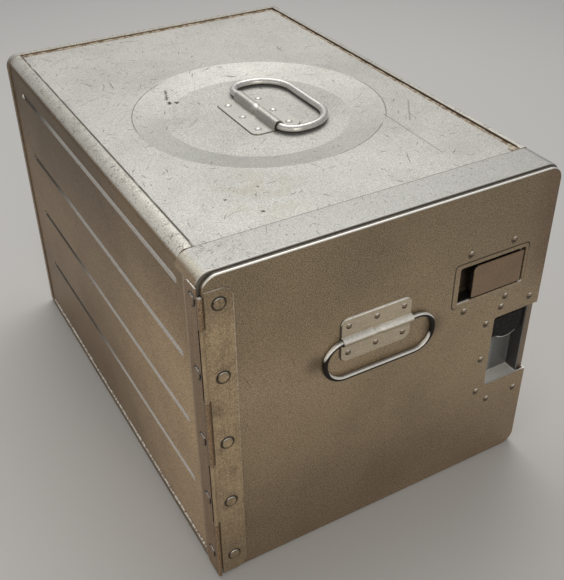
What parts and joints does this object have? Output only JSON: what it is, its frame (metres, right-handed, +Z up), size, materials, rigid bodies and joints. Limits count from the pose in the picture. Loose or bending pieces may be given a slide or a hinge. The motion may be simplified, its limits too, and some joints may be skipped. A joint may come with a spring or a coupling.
{
  "type": "galley container",
  "caption": "Riveted aluminium galley container with a side-hinged door, flush paddle latch, pull tab and folding wire lift handles on its top and door.",
  "frame": {"origin": "middle of the underside, where the container stands", "axes": "+Z up, the door faces -Y, the hinge is on the -X side and the latch on the +X side"},
  "size_m": [0.2837, 0.4104, 0.2699],
  "materials": {
    "aluminium_sheet": "worn, fine scratches",
    "hinge_metal": "brushed, tarnished",
    "handle_steel": "polished, worn",
    "latch_steel": "plain",
    "rivet_metal": "bright",
    "catch_metal": "brushed, bright",
    "black_plastic": "moulded",
    "seal_rubber": "matt",
    "core_foam": "rigid foam"
  },
  "bodies": {
    "carcass": {"front_frame": "aluminium_sheet", "left_side_panel": "aluminium_sheet", "right_side_panel": "aluminium_sheet", "top_panel": "aluminium_sheet", "bottom_pan": "aluminium_sheet", "rear_panel": "aluminium_sheet", "latch_keeper": "latch_steel", "hinge_side_leaf": "hinge_metal", "hinge_side_rivets": "hinge_metal", "hinge_pin": "hinge_metal", "top_handle_saddle": "handle_steel", "top_handle_rivets": "rivet_metal", "top_handle_doubler": "aluminium_sheet"},
    "door": {"door_skin": "aluminium_sheet", "door_inner_pan": "aluminium_sheet", "door_core": "core_foam", "door_seal": "seal_rubber", "hinge_door_leaf": "hinge_metal", "hinge_door_rivets": "hinge_metal", "door_handle_saddle": "handle_steel", "door_handle_rivets": "rivet_metal", "latch_pan": "aluminium_sheet", "latch_rivets": "rivet_metal", "paddle_pin": "latch_steel", "bolt_guide": "black_plastic", "catch_pan": "catch_metal", "catch_rivets": "rivet_metal", "tab_pin": "latch_steel"},
    "top_handle": {"top_handle": "handle_steel"},
    "door_handle": {"door_handle": "handle_steel"},
    "latch_paddle": {"latch_paddle": "aluminium_sheet"},
    "latch_bolt": {"latch_bolt": "latch_steel"},
    "pull_tab": {"pull_tab": "black_plastic"}
  },
  "joints": [
    {"name": "door_swing", "type": "hinge", "parent": "carcass", "child": "door", "pos_m": [-0.1407, -0.2035, 0.128], "axis": [0, 0, -1], "range_deg": [0, 240]},
    {"name": "top_handle_swing", "type": "hinge", "parent": "carcass", "child": "top_handle", "pos_m": [0.0017, -0.0107, 0.26545], "axis": [0, -1, 0], "range_deg": [0, 175]},
    {"name": "door_handle_swing", "type": "hinge", "parent": "door", "child": "door_handle", "pos_m": [-0.0123, -0.20475, 0.1824], "axis": [-1, 0, 0], "range_deg": [0, 175]},
    {"name": "latch_paddle_swing", "type": "hinge", "parent": "door", "child": "latch_paddle", "pos_m": [0.1155, -0.1998, 0.1916], "axis": [0, 0, 1], "range_deg": [-15, 30]},
    {"name": "latch_bolt_slide", "type": "slide", "parent": "door", "child": "latch_bolt", "axis": [1, 0, 0], "range_m": [-0.00675, 0.0034]},
    {"name": "pull_tab_swing", "type": "hinge", "parent": "door", "child": "pull_tab", "pos_m": [0.1146, -0.1965, 0.144], "axis": [-1, 0, 0], "range_deg": [0, 60]}
  ],
  "couplings": [
    {"joint": "latch_bolt_slide", "follows": "latch_paddle_swing", "m_per_rad": -0.0128}
  ]
}
